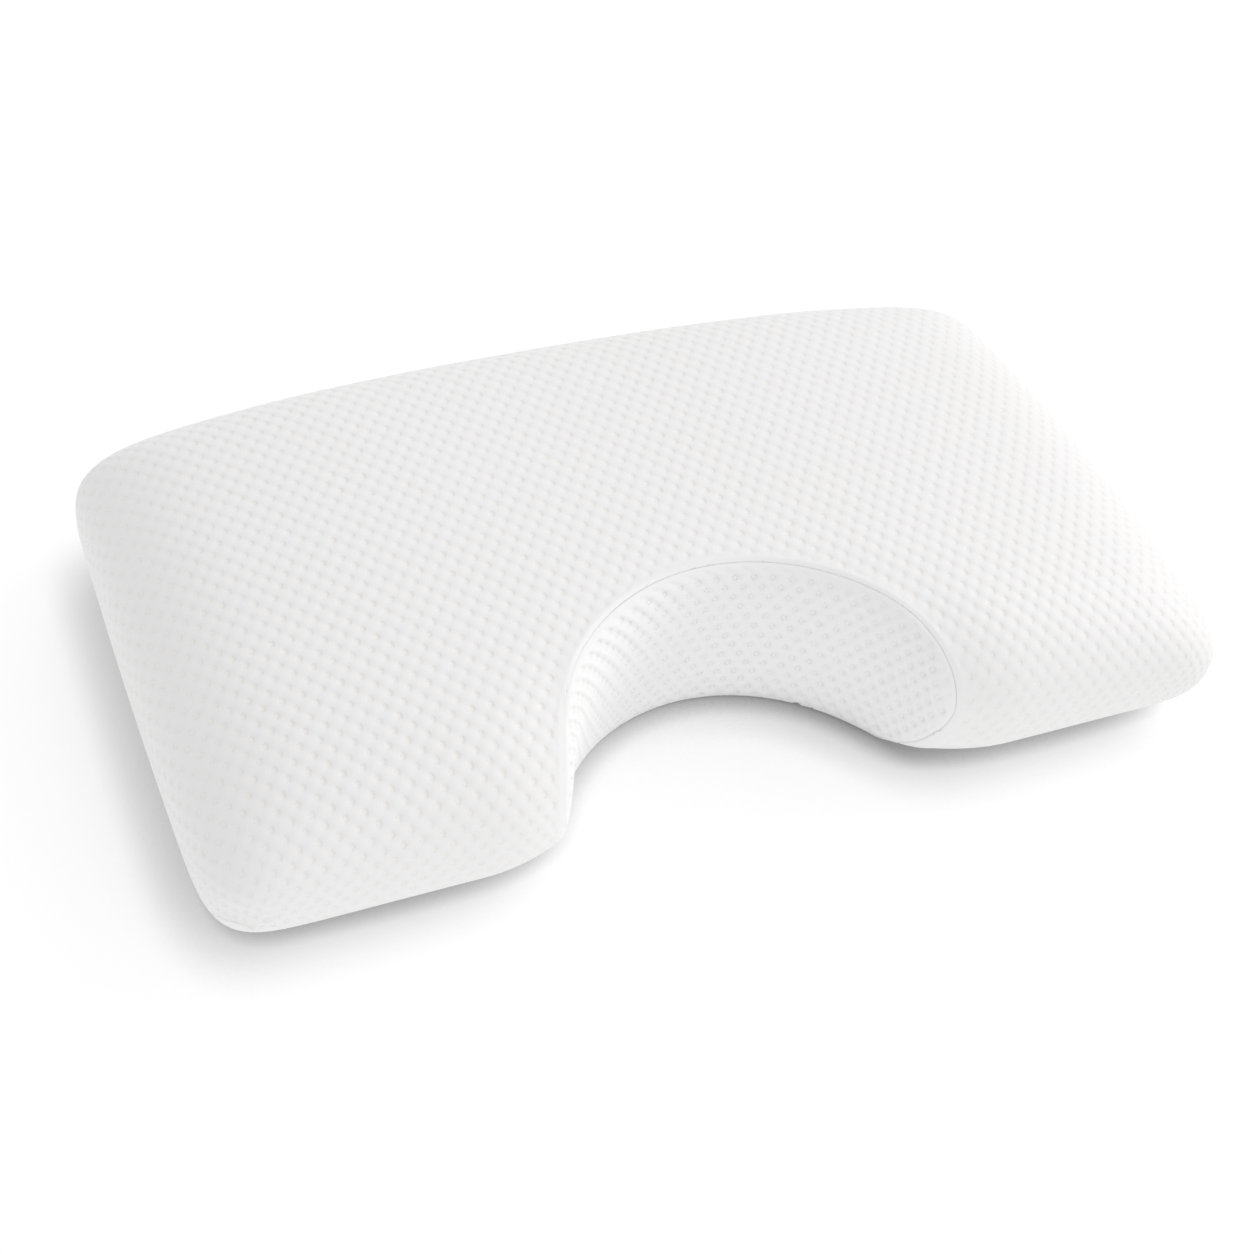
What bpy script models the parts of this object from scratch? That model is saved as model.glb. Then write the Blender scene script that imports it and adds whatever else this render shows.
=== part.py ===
# Neck pillow with a half-round shoulder recess.
# A filled body in its knitted cover carries a curved side panel, sewn into the recess.
# It lies on its flat underside: +Z up, length along X, recess open towards -Y.
# The origin is the bottom centre of the whole pillow. Metres throughout.

from math import asin, cos, pi, sin, sqrt
import bpy
import bmesh
from mathutils import Vector
from mathutils.geometry import delaunay_2d_cdt

# Overall size
LENGTH = 0.594
DEPTH = 0.3270
END_BOW = 0.0030  # how far the middle of each end swells out
BACK_BOW = 0.0131  # how far the middle of the back edge swells out
FRONT_FLARE = 0.0027  # how much further each front corner reaches out than the middle
NOSE_DRAW = 0.0149  # how far the front edge is drawn back beside the recess
NOSE_DRAW_REACH = 0.052  # length of front edge over which that happens
FLAT_FRONT = 0.020  # the drawing back fades out this far in front of the middle

# Height of the crowned top
CROWN = 0.1078
WAIST = 0.043  # height of the widest line round the pillow
END_DROP = 0.0257
END_DROP_POWER = 3.6
EDGE_DROP = 0.0129

# Shoulder recess, a half ellipse cut down through the front
RECESS_HALF_WIDTH = 0.1035
RECESS_REACH = 0.115
RECESS_CENTRE_Y = -0.1795

# Roundings, as widths in plan from the widest line to where the form lies flat
TOP_ROUNDING = {"end": 0.0787, "front": 0.087, "back": 0.057, "rim": 0.0176}
UNDER_ROUNDING = {"end": 0.0535, "front": 0.070, "back": 0.056, "rim": 0.0079}
CORNER_POWER = {"front": 5.6, "back": 4.7}  # how square the corners are in plan
TOP_PROFILE_POWER = 3.1  # how square the roundings are in section
UNDER_PROFILE_POWER = 2.15
HORN_EASE = 1.6  # keeps the stations down the recess side evenly spaced

# Recess panel
PANEL_THICKNESS = 0.0020
SEAM_OFFSET = 0.0110  # the seam lies this far out from the recess wall
SEAM_BASE = -0.002  # below the floor, so that the panel wraps under the foot of the recess
SEAM_TURN_Y = -0.100  # in front of this the seam curves up, as a quarter ellipse
SEAM_TURN_REACH = 0.0645
SEAM_TURN_RISE = 0.060
GAP = 0.0003  # clearance between panel and body

# Stations along half of the outline, and rings from the widest line inwards
STATIONS = {"wall": 10, "horn": 16, "nose": 6, "front_corner": 9, "end": 6, "back_corner": 9, "back": 14}
RINGS = 8
FILL_SPACING = 0.028
COLUMN_SIDES = 128
WELD = 0.00001


def material(name, colour, roughness):
    mat = bpy.data.materials.new(name)
    mat.use_nodes = True
    shader = mat.node_tree.nodes["Principled BSDF"]
    shader.inputs["Base Color"].default_value = (*colour, 1.0)
    shader.inputs["Roughness"].default_value = roughness
    shader.inputs["Metallic"].default_value = 0.0
    return mat


def mix(start, end, share):
    return start + (end - start) * share


def half_length(form):
    return LENGTH / 2 - form["inset"]


def half_depth(form):
    return DEPTH / 2 - form["inset"]


def recess_x(y, offset):
    # Half width of the recess at y, on a curve that lies offset out from its wall
    across = (y - RECESS_CENTRE_Y) / (RECESS_REACH + offset)
    return (RECESS_HALF_WIDTH + offset) * sqrt(max(0.0, 1.0 - across * across))


def rounded_corner(share, side):
    # Point on the unit rounded corner, from (1, 0) to (0, 1)
    angle = share * pi / 2
    power = 2.0 / CORNER_POWER[side]
    return max(cos(angle), 0.0) ** power, sin(angle) ** power


def wall_point(share, level, form):
    # Back of the recess, from its middle to where the front rounding begins
    offset = form["rim"] * (1.0 - level) + form["inset"]
    turn_y = TOP_ROUNDING["front"] - half_depth(form)
    turn = asin((turn_y - RECESS_CENTRE_Y) / (RECESS_REACH + offset))
    angle = mix(pi / 2, turn, share)
    x = (RECESS_HALF_WIDTH + offset) * cos(angle)
    return x, RECESS_CENTRE_Y + (RECESS_REACH + offset) * sin(angle)


def horn_point(share, level, form):
    # Side of the recess and the rounded horn that ends it at the front
    across, along = rounded_corner(share**HORN_EASE, "front")
    y_edge = TOP_ROUNDING["front"] * (1.0 - along) - half_depth(form)
    y_flat = max(y_edge, form["front"] - half_depth(form))
    offset_edge = TOP_ROUNDING["rim"] * (1.0 - across)
    y = mix(y_flat, y_edge, level)
    return recess_x(y, mix(form["rim"], offset_edge, level) + form["inset"]), y


def nose_point(share, level, form):
    # Straight front edge between horn and corner
    y = form["front"] * (1.0 - level) - half_depth(form)
    x_horn = recess_x(y, mix(form["rim"], TOP_ROUNDING["rim"], level) + form["inset"])
    return mix(x_horn, half_length(form) - TOP_ROUNDING["end"], share), y


def corner_point(share, level, form, side):
    # Outer corner; side is "front" or "back"
    out_y, out_x = rounded_corner(share, side)
    sign = -1.0 if side == "front" else 1.0
    x_edge = half_length(form) - TOP_ROUNDING["end"] * (1.0 - out_x)
    y_edge = half_depth(form) - TOP_ROUNDING[side] * (1.0 - out_y)
    x_flat = min(x_edge, half_length(form) - form["end"])
    y_flat = min(y_edge, half_depth(form) - form[side])
    return mix(x_flat, x_edge, level), sign * mix(y_flat, y_edge, level)


def end_point(share, level, form):
    y_front = TOP_ROUNDING["front"] - half_depth(form)
    y_back = half_depth(form) - TOP_ROUNDING["back"]
    return half_length(form) - form["end"] * (1.0 - level), mix(y_front, y_back, share)


def back_point(share, level, form):
    y = half_depth(form) - form["back"] * (1.0 - level)
    return mix(half_length(form) - TOP_ROUNDING["end"], 0.0, share), y


def half_ring(level, form):
    # Points from the middle of the recess round to the middle of the back.
    # level is 1 on the widest line and 0 where the form lies flat.
    makers = {
        "wall": wall_point,
        "horn": horn_point,
        "nose": nose_point,
        "front_corner": lambda s, c, f: corner_point(s, c, f, "front"),
        "end": end_point,
        "back_corner": lambda s, c, f: corner_point(1.0 - s, c, f, "back"),
        "back": back_point,
    }
    points = []
    for stretch, count in STATIONS.items():
        for i in range(count):
            points.append(makers[stretch](i / count, level, form))
    points.append(back_point(1.0, level, form))
    return points


def full_ring(level, form):
    half = half_ring(level, form)
    mirrored = [(-x, y) for x, y in reversed(half[1:-1])]
    return half + mirrored


def profile(step, squareness):
    # Level in plan and share of the height for one ring
    angle = step / RINGS * pi / 2
    power = 2.0 / squareness
    return max(cos(angle), 0.0) ** power, sin(angle) ** power


def top_height(x, y):
    ends = END_DROP * abs(2 * x / LENGTH) ** END_DROP_POWER
    edges = EDGE_DROP * (2 * y / DEPTH) ** 2
    return CROWN - ends - edges


def upper_z(x, y, rise, inset):
    return mix(WAIST, top_height(x, y) - inset, rise)


def lower_z(x, y, rise, inset):
    return mix(WAIST, inset, rise)


def settled(point):
    # Draws the front edge back beside the recess, bows back and ends and centres the pillow
    x, y, z = point
    depth_share = 2 * y / DEPTH
    length_share = 2 * x / LENGTH
    beside = min(1.0, max(0.0, 1.0 - (abs(x) - RECESS_HALF_WIDTH) / NOSE_DRAW_REACH)) ** 2
    forward = min(1.0, max(0.0, (-y - FLAT_FRONT) / (DEPTH / 2 - FLAT_FRONT))) ** 2
    bow = BACK_BOW * (1.0 - length_share**2) * max(0.0, depth_share)
    spread = END_BOW * (1.0 - depth_share**2) - FRONT_FLARE * depth_share
    return Vector((x + length_share * spread, y + NOSE_DRAW * beside * forward + bow - BACK_BOW / 2, z))


def add_shell(bm, form, height, squareness):
    # One shell of rings, from the widest line to the flat part
    rings = []
    for step in range(RINGS + 1):
        level, rise = profile(step, squareness)
        points = full_ring(level, form)
        rings.append([bm.verts.new((x, y, height(x, y, rise, form["inset"]))) for x, y in points])
    count = len(rings[0])
    for outer, inner in zip(rings, rings[1:]):
        for i in range(count):
            j = (i + 1) % count
            bm.faces.new((outer[i], outer[j], inner[j], inner[i]))
    return [v.co.copy() for v in rings[-1]]


def inside_flat(x, y, form):
    # Whether a point lies well inside the flat part of the top
    margin = FILL_SPACING * 0.4
    in_ends = abs(x) < half_length(form) - form["end"] - margin
    in_depth = form["front"] + margin < y + half_depth(form) < 2 * half_depth(form) - form["back"] - margin
    reach = form["rim"] + form["inset"] + margin
    across = x / (RECESS_HALF_WIDTH + reach)
    along = (y - RECESS_CENTRE_Y) / (RECESS_REACH + reach)
    return in_ends and in_depth and across * across + along * along > 1.0


def inner_points(form):
    # Even points over the crowned top, kept clear of the last ring
    columns = int(LENGTH / FILL_SPACING)
    rows = int(DEPTH / FILL_SPACING)
    points = []
    for i in range(columns):
        for j in range(rows):
            x = LENGTH * ((i + 0.5) / columns - 0.5)
            y = DEPTH * ((j + 0.5) / rows - 0.5)
            if inside_flat(x, y, form):
                points.append(Vector((x, y)))
    return points


def fill_flat(bm, loop, form, height, inner):
    # Triangles across the space that the last ring leaves
    outline = []
    for point in loop:
        spot = Vector((point.x, point.y))
        if not outline or (spot - outline[-1]).length > WELD:
            outline.append(spot)
    region = [list(range(len(outline)))]
    points, _, faces, _, _, _ = delaunay_2d_cdt(outline + inner, [], region, 1, WELD / 10)
    verts = [bm.verts.new((p.x, p.y, height(p.x, p.y, 1.0, form["inset"]))) for p in points]
    for face in faces:
        bm.faces.new([verts[i] for i in face])


def pillow_mesh(name, inset):
    # The whole filled form, drawn in by inset all over, before the recess panel is let in
    bm = bmesh.new()
    top = TOP_ROUNDING | {"inset": inset}
    under = UNDER_ROUNDING | {"inset": inset}
    top_loop = add_shell(bm, top, upper_z, TOP_PROFILE_POWER)
    fill_flat(bm, top_loop, top, upper_z, inner_points(top))
    under_loop = add_shell(bm, under, lower_z, UNDER_PROFILE_POWER)
    fill_flat(bm, under_loop, under, lower_z, [])
    bmesh.ops.remove_doubles(bm, verts=bm.verts, dist=WELD)
    for vert in bm.verts:
        vert.co = settled(vert.co)
    bmesh.ops.recalc_face_normals(bm, faces=bm.faces)
    mesh = bpy.data.meshes.new(name)
    bm.to_mesh(mesh)
    bm.free()
    mesh.shade_smooth()
    return mesh


def add_object(name, mesh, collection, mat=None):
    obj = bpy.data.objects.new(name, mesh)
    collection.objects.link(obj)
    if mat:
        obj.data.materials.append(mat)
    else:
        obj.hide_render = True
        obj.display_type = "WIRE"
    return obj


def seam_height(y, margin):
    # Lower edge of the panel, lowered and moved forward by margin
    forward = min(1.0, max(0.0, (SEAM_TURN_Y - margin - y) / SEAM_TURN_REACH))
    return SEAM_BASE - margin + SEAM_TURN_RISE * (1.0 - sqrt(1.0 - forward * forward))


def add_column(name, margin, cutters):
    # Upright elliptical column, whose side and rising foot pass through the panel's seam
    bm = bmesh.new()
    bmesh.ops.create_cone(
        bm, cap_ends=True, cap_tris=True, segments=COLUMN_SIDES, radius1=1.0, radius2=1.0, depth=1.0
    )
    bottom = min(v.co.z for v in bm.verts)
    for vert in bm.verts:
        x = vert.co.x * (RECESS_HALF_WIDTH + SEAM_OFFSET + margin)
        y = vert.co.y * (RECESS_REACH + SEAM_OFFSET + margin) + RECESS_CENTRE_Y
        z = seam_height(y, margin) if vert.co.z < bottom + 0.5 else CROWN * 1.2
        vert.co = settled((x, y, z))
    mesh = bpy.data.meshes.new(name)
    bm.to_mesh(mesh)
    bm.free()
    return add_object(name, mesh, cutters)


def combine(obj, operation, other):
    modifier = obj.modifiers.new(operation.title() + "_" + other.name, "BOOLEAN")
    modifier.operation = operation
    modifier.object = other
    modifier.solver = "EXACT"


def build_body(collection, cutters):
    knit = material("white_knit_cover", (0.86, 0.86, 0.87), 0.85)
    body = add_object("pillow_body", pillow_mesh("pillow_body", 0.0), collection, knit)
    floor = add_object("rebate_floor", pillow_mesh("rebate_floor", PANEL_THICKNESS + GAP), cutters)
    combine(body, "DIFFERENCE", add_column("rebate_column", GAP, cutters))
    combine(body, "UNION", floor)


def build_recess_panel(collection, cutters):
    knit = material("white_knit_panel", (0.82, 0.82, 0.83), 0.88)
    panel = add_object("recess_panel", pillow_mesh("recess_panel", 0.0), collection, knit)
    back = add_object("panel_back", pillow_mesh("panel_back", PANEL_THICKNESS), cutters)
    combine(panel, "INTERSECT", add_column("panel_column", 0.0, cutters))
    combine(panel, "DIFFERENCE", back)


def main():
    for obj in list(bpy.data.objects):
        bpy.data.objects.remove(obj, do_unlink=True)
    collection = bpy.data.collections.new("neck_pillow")
    cutters = bpy.data.collections.new("neck_pillow_cutters")
    for new in (collection, cutters):
        bpy.context.scene.collection.children.link(new)
    build_body(collection, cutters)
    build_recess_panel(collection, cutters)


main()
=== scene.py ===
from collections import Counter
from math import cos, pi, radians, sin

import bpy
import numpy as np
from mathutils import Matrix, Vector


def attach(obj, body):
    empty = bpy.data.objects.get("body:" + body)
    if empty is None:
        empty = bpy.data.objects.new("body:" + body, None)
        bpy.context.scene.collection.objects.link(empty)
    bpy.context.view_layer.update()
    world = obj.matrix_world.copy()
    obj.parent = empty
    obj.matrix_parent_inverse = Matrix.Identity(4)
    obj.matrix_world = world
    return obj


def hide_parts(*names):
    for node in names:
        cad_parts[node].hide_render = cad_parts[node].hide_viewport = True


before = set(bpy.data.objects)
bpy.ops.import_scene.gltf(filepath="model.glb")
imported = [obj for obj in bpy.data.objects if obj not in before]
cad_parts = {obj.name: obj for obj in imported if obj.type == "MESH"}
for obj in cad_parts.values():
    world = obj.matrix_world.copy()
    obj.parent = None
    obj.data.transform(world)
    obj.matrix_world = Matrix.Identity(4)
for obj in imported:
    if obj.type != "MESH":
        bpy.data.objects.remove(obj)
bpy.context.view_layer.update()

scene = bpy.context.scene


pillowForm = {  # the same as in the solids, metres
    "length": 0.594,
    "depth": 0.3270,
    "crown": 0.1078,
    "waist": 0.043,  # height of the widest line
    "endBow": 0.0030,
    "backBow": 0.0131,
    "frontFlare": 0.0027,
    "noseDraw": 0.0149,  # how far the front edge is drawn back beside the recess
    "noseDrawReach": 0.052,
    "flatFront": 0.020,
    "endDrop": 0.0257,  # the crown falls this much to the ends
    "endDropPower": 3.6,
    "endDropLimit": 1.1,  # in half lengths, past which it falls no further
    "edgeDrop": 0.0129,  # and this much to the front and the back
    "recessHalfWidth": 0.1035,
    "recessReach": 0.115,
    "recessCentreY": -0.1795,
    "topEnd": 0.0787,  # widths of the roundings in plan
    "topFront": 0.087,
    "topBack": 0.057,
    "topRim": 0.0176,
    "underEnd": 0.0535,
    "underFront": 0.070,
    "underBack": 0.056,
    "underRim": 0.0079,
    "cornerFront": 5.6,
    "cornerBack": 4.7,
    "topSquareness": 3.1,
    "underSquareness": 2.15,
}


def shiftInPlan(x, y):
    # drawn-back front edges, bowed back and ends
    f = pillowForm
    depthShare = 2 * y / f["depth"]
    lengthShare = 2 * x / f["length"]
    beside = np.clip(1 - (np.abs(x) - f["recessHalfWidth"]) / f["noseDrawReach"], 0, 1) ** 2
    forward = np.clip((-y - f["flatFront"]) / (f["depth"] / 2 - f["flatFront"]), 0, 1) ** 2
    bow = f["backBow"] * (1 - lengthShare**2) * np.maximum(0, depthShare)
    spread = f["endBow"] * (1 - depthShare**2) - f["frontFlare"] * depthShare
    return lengthShare * spread, f["noseDraw"] * beside * forward + bow - f["backBow"] / 2


def straightPlan(points, rounds=7):
    # undoes shiftInPlan
    x, y = points[:, 0], points[:, 1]
    for _ in range(rounds):
        dx, dy = shiftInPlan(x, y)
        x, y = points[:, 0] - dx, points[:, 1] - dy
    return x, y


def recessOffset(x, y, rounds=7):
    # how far out from the recess wall a point lies in plan, found by Newton's method
    f = pillowForm
    leastSlope, leastOffset = 0.01, -0.09
    a, b = f["recessHalfWidth"], f["recessReach"]
    away = y - f["recessCentreY"]
    offset = (np.hypot(x / a, away / b) - 1) * (a + b) / 2
    for _ in range(rounds):
        wide, long = a + offset, b + offset
        value = (x / wide) ** 2 + (away / long) ** 2 - 1
        slope = -2 * (x**2 / wide**3 + away**2 / long**3)
        offset = np.maximum(offset - value / np.minimum(slope, -leastSlope), leastOffset)
    return offset


def sidesOf(x, y):
    # how far into each rounding a point is: 0 where the top lies flat, 1 on the widest line
    f = pillowForm
    front = y < 0
    width = np.where(front, f["topFront"], f["topBack"])
    power = np.where(front, f["cornerFront"], f["cornerBack"])
    atEnd = np.maximum(0, 1 - (f["length"] / 2 - np.abs(x)) / f["topEnd"])
    atSide = np.maximum(0, 1 - (f["depth"] / 2 - np.abs(y)) / width)
    atRim = np.maximum(0, 1 - recessOffset(x, y) / f["topRim"])
    return atEnd, atSide, atRim, width, power


def rootOf(total, power):
    # the power's root, 0 where nothing is there
    return np.where(total > 1e-11, total ** (1 / power), 0)


def underLevel(level, ratio):
    # the underside's rounding starts further out than the top's
    return np.maximum(0, 1 - (1 - level) * np.maximum(ratio, 1))


def levelsOf(x, y):
    # level for the top and for the underside
    f = pillowForm
    atEnd, atSide, atRim, width, power = sidesOf(x, y)
    parts = [atEnd**power, atSide**power, atRim**power]
    parts[0] = np.where(atRim > atEnd, 0, parts[0])
    parts[2] = np.where(atRim > atEnd, parts[2], 0)
    total = np.maximum(sum(parts), 1e-12)
    level = rootOf(total, power)
    shares = [part / total for part in parts]
    underWidth = np.where(y < 0, f["underFront"], f["underBack"])
    ratio = shares[0] * f["topEnd"] / f["underEnd"] + shares[1] * width / underWidth
    ratio = ratio + shares[2] * f["topRim"] / f["underRim"]
    return level, underLevel(level, ratio)


def formValue(points):
    # 0 on the pillow's surface, more outside
    f = pillowForm
    x, y = straightPlan(points)
    z = points[:, 2]
    level, under = levelsOf(x, y)
    lengthShare = np.minimum(np.abs(2 * x / f["length"]), f["endDropLimit"])
    ends = f["endDrop"] * lengthShare ** f["endDropPower"]
    height = f["crown"] - ends - f["edgeDrop"] * (2 * y / f["depth"]) ** 2
    above = z > f["waist"]
    power = np.where(above, f["topSquareness"], f["underSquareness"])
    reach = np.where(above, level, under)
    rise = np.where(above, (z - f["waist"]) / (height - f["waist"]), 1 - z / f["waist"])
    return (reach**power + np.abs(rise) ** power) ** (1 / power) - 1


def slopeOf(measure, points, step):
    # how fast a measure grows along each axis
    slope = np.empty_like(points)
    for axis in range(3):
        move = np.zeros(3)
        move[axis] = step
        slope[:, axis] = (measure(points + move) - measure(points - move)) / (2 * step)
    return slope


def formSlope(points):
    return slopeOf(formValue, points, step=0.0002)


def ontoForm(points, rounds=5):
    # moves points on to the surface, and gives its normals there
    longestMove = 0.004
    for _ in range(rounds):
        slope = formSlope(points)
        steepness = np.maximum((slope**2).sum(1), 1.0)
        move = -(formValue(points) / steepness)[:, None] * slope
        size = np.linalg.norm(move, axis=1)
        points = points + move * np.minimum(1, longestMove / np.maximum(size, 1e-9))[:, None]
    slope = formSlope(points)
    return points, slope / np.maximum(np.linalg.norm(slope, axis=1), 1e-9)[:, None]


def smoothStep(start, end, value):
    share = np.clip((value - start) / (end - start), 0, 1)
    return share * share * (3 - 2 * share)


def bell(distance, width):
    return np.exp(-((distance / width) ** 2))


seamPath = {
    "offset": 0.0110,  # out from the recess wall
    "foot": -0.002,  # under the floor, because the panel wraps under the foot of the recess
    "turnY": -0.100,  # in front of this the seam rises
    "turnReach": 0.0645,
    "turnRise": 0.060,
    "turnLimit": 0.995,  # short of upright
    "cornerRadius": 0.005,
}


def seamDistance(points):
    # along the surface from the seam, less than 0 on the panel
    s = seamPath
    x, y = straightPlan(points)
    beside = recessOffset(x, y) - s["offset"]
    forward = np.clip((s["turnY"] - y) / s["turnReach"], 0, s["turnLimit"])
    bend = np.sqrt(1 - forward**2)
    slope = s["turnRise"] / s["turnReach"] * forward / bend
    below = (s["foot"] + s["turnRise"] * (1 - bend) - points[:, 2]) / np.sqrt(1 + slope**2)
    r = s["cornerRadius"]
    corner = np.hypot(np.maximum(beside + r, 0), np.maximum(below + r, 0)) - r
    return corner + np.minimum(np.maximum(beside, below) + r, 0)


cornerTuck = {
    "path": [  # along the fold, at the front left corner
        (-0.296, -0.149, 0.032),
        (-0.292, -0.157, 0.040),
        (-0.287, -0.163, 0.041),
        (-0.281, -0.165, 0.039),
        (-0.276, -0.166, 0.035),
    ],
    "lap": 0.0016,  # how far the upper cloth stands over the fold
    "lapWidth": 0.0040,
    "dip": 0.0016,  # how far the lower cloth goes in
    "dipWidth": 0.0050,
    "fadeIn": (-0.05, 0.40),  # shares of the fold's length
    "fadeOut": (1, 0.80),
    # width of the painted shade line under the fold
    "shadeLineWidth": (0.0013, 0.0003),
    "plainWidth": (0.020, 0.010),
    "rays": [  # small wrinkles: start, end, height
        ((-0.278, -0.166, 0.038), (-0.268, -0.166, 0.058), 0.0009),
        ((-0.279, -0.166, 0.038), (-0.280, -0.163, 0.064), 0.0008),
        ((-0.281, -0.165, 0.040), (-0.289, -0.156, 0.060), 0.0006),
        ((-0.277, -0.166, 0.037), (-0.260, -0.169, 0.045), 0.0007),
    ],
    "rayWidth": 0.0017,
    "rayFade": (1, 0.3),
    "troughAt": 0.0035,  # a shallow trough on each side of a wrinkle
    "troughWidth": 0.0018,
    "troughShare": 0.6,
}


def besidePath(points, path):
    # distance from a line of points, share along it, and the line's height there
    best = np.full(len(points), 1e9)
    along = np.zeros(len(points))
    height = np.zeros(len(points))
    for i, (start, end) in enumerate(zip(path[:-1], path[1:])):
        start, end = np.array(start), np.array(end)
        run = end - start
        share = np.clip((points - start) @ run / (run @ run), 0, 1)
        spot = start + share[:, None] * run
        distance = np.linalg.norm(points - spot, axis=1)
        near = distance < best
        best = np.where(near, distance, best)
        along = np.where(near, (i + share) / (len(path) - 1), along)
        height = np.where(near, spot[:, 2], height)
    return best, along, height


def onSurface(path):
    return ontoForm(np.array(path))[0]


def tuckRelief(points):
    # in or out along the normal, how plain the cloth is, and the painted shade line under the fold
    c = cornerTuck
    distance, along, height = besidePath(points, onSurface(c["path"]))
    ending = smoothStep(*c["fadeOut"], along)
    over = points[:, 2] > height
    lap = c["lap"] * np.exp(-distance / c["lapWidth"])
    dip = -c["dip"] * np.exp(-distance / c["dipWidth"])
    relief = np.where(over, lap, dip) * (smoothStep(*c["fadeIn"], along) * ending)
    # painted shade along the fold, where the upper cloth overhangs the lower
    line = smoothStep(*c["shadeLineWidth"], distance) * ending
    for start, end, size in c["rays"]:
        off, share, _ = besidePath(points, onSurface([start, end]))
        trough = c["troughShare"] * bell(off - c["troughAt"], c["troughWidth"])
        swell = bell(off, c["rayWidth"]) - trough
        relief = relief + size * swell * smoothStep(*c["rayFade"], share)
    plain = smoothStep(*c["plainWidth"], distance) * (1 - over)
    return relief, plain, line


clothWay = {  # for the knit's coordinates
    "endRise": 0.045,  # usual height of the top over the widest line, at the ends
    "sideRise": 0.054,  # and at the front and the back
    "turnPower": 3,  # how late the way turns from one side to the other at a corner
    "arcSteps": 240,
    "wallSteps": 400,
    "pastHalf": 0.5,  # the wall goes this much past a quarter turn, radians
    "wrap": 0.012,  # the panel's part beyond the recess wall
    "wrapFront": (-0.125, -0.160),
    "noseShare": 0.5,
    "rimShare": 0.8,
}


def arcAlong(width, height, squareness):
    angle = np.linspace(pi / 2, 0, clothWay["arcSteps"])
    level = np.cos(angle).clip(0) ** (2 / squareness)
    rise = np.sin(angle) ** (2 / squareness)
    steps = np.hypot(np.diff(level) * width, np.diff(rise) * height)
    return level, np.concatenate([[0.0], np.cumsum(steps)])


def arcExcess(level, under, above, widths, rise):
    # how much longer the way over the rounding is than its plan
    f = pillowForm
    topArc = arcAlong(widths[0], rise, f["topSquareness"])
    underArc = arcAlong(widths[1], f["waist"], f["underSquareness"])
    down = np.interp(level, *topArc)
    on = topArc[1][-1] + underArc[1][-1] - np.interp(under, *underArc)
    return np.where(above, down, on) - level * widths[0]


def coverCoordinates(points):
    # metres along the cloth, which hangs on from the top over each side
    f, way = pillowForm, clothWay
    x, y = straightPlan(points)
    above = points[:, 2] > f["waist"]
    atEnd, atSide, _, width, power = sidesOf(x, y)
    total = np.maximum(atEnd**power + atSide**power, 1e-12)
    endShare = atEnd**power / total
    level = rootOf(total, power)
    underWidth = np.where(y < 0, f["underFront"], f["underBack"])
    ratio = endShare * f["topEnd"] / f["underEnd"] + (1 - endShare) * width / underWidth
    under = underLevel(level, ratio)
    endExcess = arcExcess(level, under, above, (f["topEnd"], f["underEnd"]), way["endRise"])
    frontExcess = arcExcess(level, under, above, (f["topFront"], f["underFront"]), way["sideRise"])
    backExcess = arcExcess(level, under, above, (f["topBack"], f["underBack"]), way["sideRise"])
    excess = endShare * endExcess + (1 - endShare) * np.where(y < 0, frontExcess, backExcess)
    outX, outY = atEnd ** way["turnPower"], atSide ** way["turnPower"]
    size = np.maximum(np.hypot(outX, outY), 1e-9)
    u = points[:, 0] + np.sign(x) * excess * outX / size
    v = points[:, 1] + np.sign(y) * excess * outY / size
    return np.stack([u, v], 1)


def panelCoordinates(points):
    # metres round the recess and up its wall
    f, way = pillowForm, clothWay
    a, b = f["recessHalfWidth"], f["recessReach"]
    x, y = straightPlan(points)
    z = points[:, 2]
    offset = recessOffset(x, y)
    turn = np.linspace(0, pi / 2 + way["pastHalf"], way["wallSteps"])
    steps = np.hypot(np.diff(a * np.sin(turn)), np.diff(b * np.cos(turn)))
    length = np.concatenate([[0.0], np.cumsum(steps)])
    own = np.arctan2(np.abs(x) / (a + offset), (y - f["recessCentreY"]) / (b + offset))
    outward = np.clip(offset, 0, way["wrap"])
    u = np.interp(own, turn, length) + way["noseShare"] * outward * smoothStep(*way["wrapFront"], y)
    v = z + way["rimShare"] * outward * smoothStep(f["waist"], f["crown"], z)
    return np.stack([np.sign(x) * u, v], 1)


def pointsOf(obj):
    flat = np.empty(len(obj.data.vertices) * 3)
    obj.data.vertices.foreach_get("co", flat)
    return flat.reshape(-1, 3)


def movePoints(obj, points):
    obj.data.vertices.foreach_set("co", np.ascontiguousarray(points, float).ravel())
    obj.data.update()


def cornersOf(mesh):
    corners = np.empty(len(mesh.loops), int)
    mesh.loops.foreach_get("vertex_index", corners)
    return corners


def activate(obj):
    bpy.ops.object.select_all(action="DESELECT")
    obj.select_set(True)
    bpy.context.view_layer.objects.active = obj


def storeNumbers(obj, name, values):
    # one number or one vector for each point
    kind, field = ("FLOAT_VECTOR", "vector") if values.ndim == 2 else ("FLOAT", "value")
    layer = obj.data.attributes.get(name) or obj.data.attributes.new(name, kind, "POINT")
    layer.data.foreach_set(field, np.ascontiguousarray(values, float).ravel())


def readVectors(obj, name):
    values = np.empty(len(obj.data.vertices) * 3)
    obj.data.attributes[name].data.foreach_get("vector", values)
    return values.reshape(-1, 3)


def writeKnitMap(obj, coordinates):
    layer = obj.data.uv_layers.get("knit") or obj.data.uv_layers.new(name="knit")
    layer.data.foreach_set("uv", coordinates[cornersOf(obj.data)].ravel())
    obj.data.uv_layers.active = layer


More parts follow.
